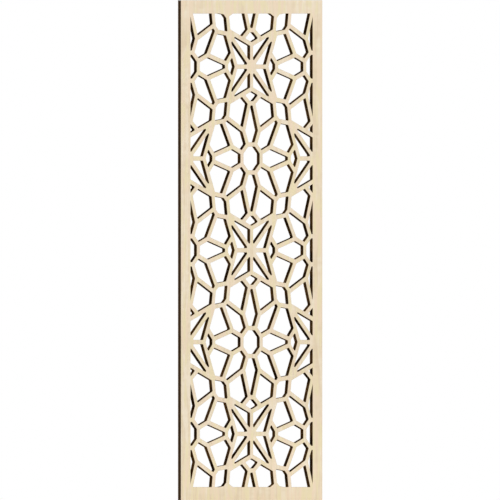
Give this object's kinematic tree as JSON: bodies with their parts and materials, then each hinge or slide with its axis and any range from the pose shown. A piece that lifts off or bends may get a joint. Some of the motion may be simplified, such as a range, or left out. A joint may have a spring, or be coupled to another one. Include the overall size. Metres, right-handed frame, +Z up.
{
  "type": "fretwork panel",
  "caption": "Tall flat birch plywood panel cut through with star and rosette strapwork inside a plain border, for facing a wall, door or screen frame.",
  "frame": {"origin": "middle of the back face, behind the hub of the middle star", "axes": "+X across the panel to the right as seen from the front, +Y out of the back face, +Z up the panel"},
  "size_m": [0.3048, 0.0063, 0.762],
  "materials": {
    "birch_face": "sanded, unfinished birch, cut walls burnt dark brown",
    "birch_back": "sanded, unfinished birch, cut walls burnt dark brown",
    "birch_crossband": "burnt dark brown at the cut",
    "birch_core": "burnt dark brown at the cut",
    "glue_film": "charred resin at the cut"
  },
  "bodies": {
    "root": {"front_face_veneer": "birch_face", "front_glue_line": "glue_film", "front_crossband": "birch_crossband", "front_core_glue_line": "glue_film", "core_ply": "birch_core", "back_core_glue_line": "glue_film", "back_crossband": "birch_crossband", "back_glue_line": "glue_film", "back_face_veneer": "birch_back"}
  },
  "joints": []
}
